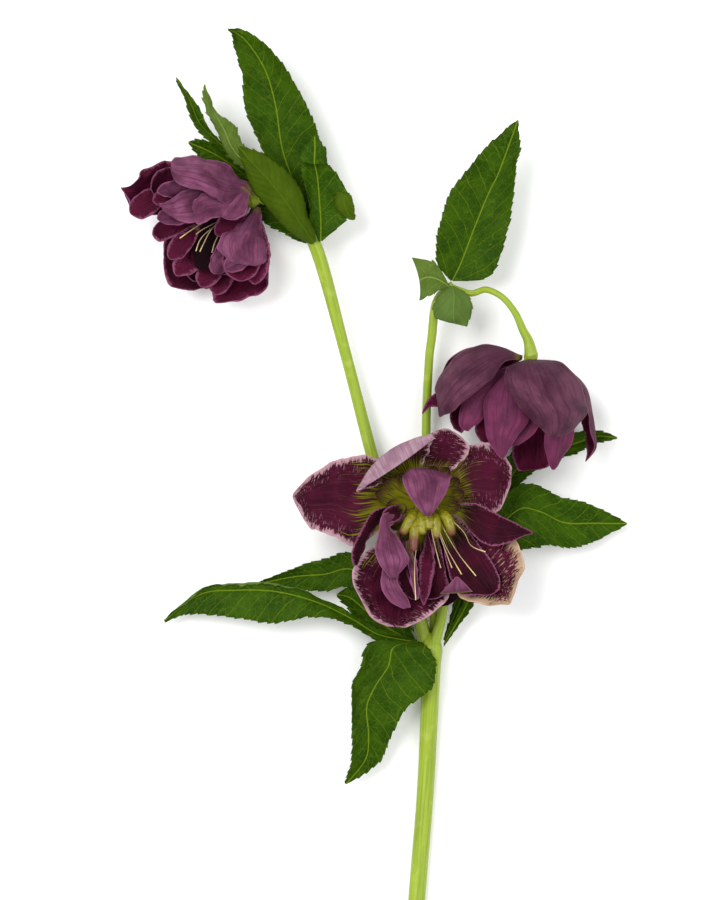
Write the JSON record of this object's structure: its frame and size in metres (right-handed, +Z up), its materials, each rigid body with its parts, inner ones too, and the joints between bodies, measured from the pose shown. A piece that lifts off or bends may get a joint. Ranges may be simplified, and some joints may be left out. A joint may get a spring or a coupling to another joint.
{
  "type": "cut hellebore flower stem",
  "caption": "Cut stem of a double hellebore with dark wine blooms and toothed green leaves, laid down as one spray.",
  "frame": {"origin": "under the middle of the spray, on the surface it lies on", "axes": "+Y along the spray from the cut end to the leaf tips, +X to its right, +Z up from the surface"},
  "size_m": [0.159, 0.3001, 0.0372],
  "materials": {
    "stem_green": "smooth waxy green stem",
    "leaf_upper": "leathery dark green leaf with fine pale veins",
    "leaf_underside": "dull grey green leaf underside",
    "sepal": "soft petal, wine inside and lilac outside, pale rim",
    "petal": "soft inner petal, wine and lilac",
    "flower_centre": "yellow green nectaries and pale stamens"
  },
  "bodies": {
    "root": {"main_stem": "stem_green", "left_branch": "stem_green", "right_branch": "stem_green", "front_pedicel": "stem_green", "right_pedicel": "stem_green", "left_leaf_tall": "leaf_upper", "left_leaf_lobe": "leaf_upper", "left_leaf_low": "leaf_upper", "left_leaf_cupped": "leaf_underside", "left_leaf_outer": "leaf_upper", "left_leaf_pale": "leaf_underside", "right_leaf_tall": "leaf_upper", "right_leaf_folded": "leaf_upper", "right_leaf_round": "leaf_underside", "lower_leaf_behind": "leaf_upper", "lower_leaf_long": "leaf_upper", "lower_leaf_small": "leaf_upper", "lower_leaf_front": "leaf_upper", "side_leaf": "leaf_upper", "side_leaf_behind": "leaf_upper", "front_sepal_left": "sepal", "front_sepal_top_left": "sepal", "front_sepal_top": "sepal", "front_sepal_right": "sepal", "front_sepal_lower_right": "sepal", "front_sepal_lower": "sepal", "left_sepal_top": "sepal", "left_sepal_side": "sepal", "left_sepal_lower_left": "sepal", "left_sepal_lower_right": "sepal", "left_sepal_folded": "sepal", "right_sepal_front": "sepal", "right_sepal_left": "sepal", "right_sepal_behind": "sepal", "right_sepal_back": "sepal", "right_sepal_side": "sepal", "front_petal_pointed": "petal", "front_petal_dark_right": "petal", "front_petal_dark_lower": "petal", "front_petal_narrow": "petal", "front_petal_lilac_upper": "petal", "front_petal_lilac_lower": "petal", "front_petal_heart": "petal", "left_petal_roof_left": "petal", "left_petal_roof_right": "petal", "left_petal_cup": "petal", "left_petal_side": "petal", "left_petal_small": "petal", "left_petal_inner": "petal", "right_petal_middle": "petal", "right_petal_second": "petal", "right_petal_left": "petal", "right_petal_left_dark": "petal", "right_petal_low_left": "petal", "right_petal_low": "petal", "right_petal_low_right": "petal", "front_centre": "flower_centre", "left_centre": "flower_centre", "right_centre": "flower_centre"}
  },
  "joints": []
}
